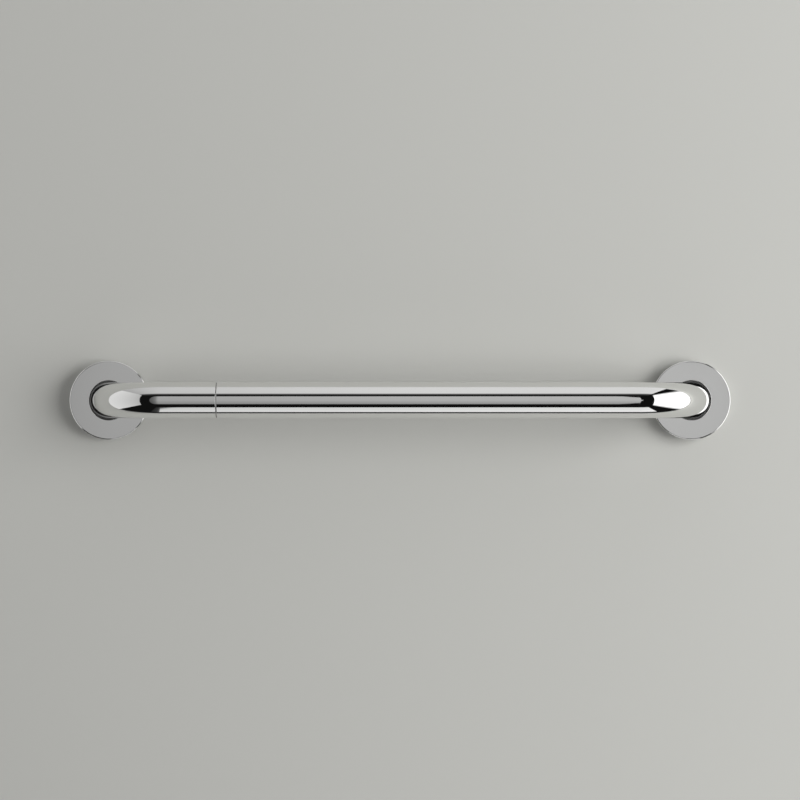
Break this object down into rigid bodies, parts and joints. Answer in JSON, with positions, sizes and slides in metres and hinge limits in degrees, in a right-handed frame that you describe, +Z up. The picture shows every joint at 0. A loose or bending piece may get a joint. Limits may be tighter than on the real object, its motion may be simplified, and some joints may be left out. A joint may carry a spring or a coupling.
{
  "type": "grab bar",
  "caption": "Straight wall grab bar: a round chrome tube bent back to the wall at both ends, with round cover roses over hidden wall plates.",
  "frame": {"origin": "on the wall plane, midway between the axes of the two legs", "axes": "+X along the bar, to the right as seen from the room; +Y into the wall, so that the bar stands out towards -Y; +Z up"},
  "size_m": [0.568, 0.08, 0.068],
  "materials": {
    "polished_chrome": "mirror-polished chrome plate",
    "turned_steel": "bare turned stainless steel",
    "screw_steel": "oiled dark steel",
    "ring_rubber": "matt black rubber"
  },
  "bodies": {
    "root": {"bar_tube": "polished_chrome", "elbow_tube": "polished_chrome", "coupling_sleeve": "turned_steel", "left_wall_plate": "turned_steel", "right_wall_plate": "turned_steel", "left_lock_screws": "screw_steel", "right_lock_screws": "screw_steel", "left_rose_ring": "ring_rubber", "right_rose_ring": "ring_rubber", "left_rose": "polished_chrome", "right_rose": "polished_chrome"}
  },
  "joints": []
}
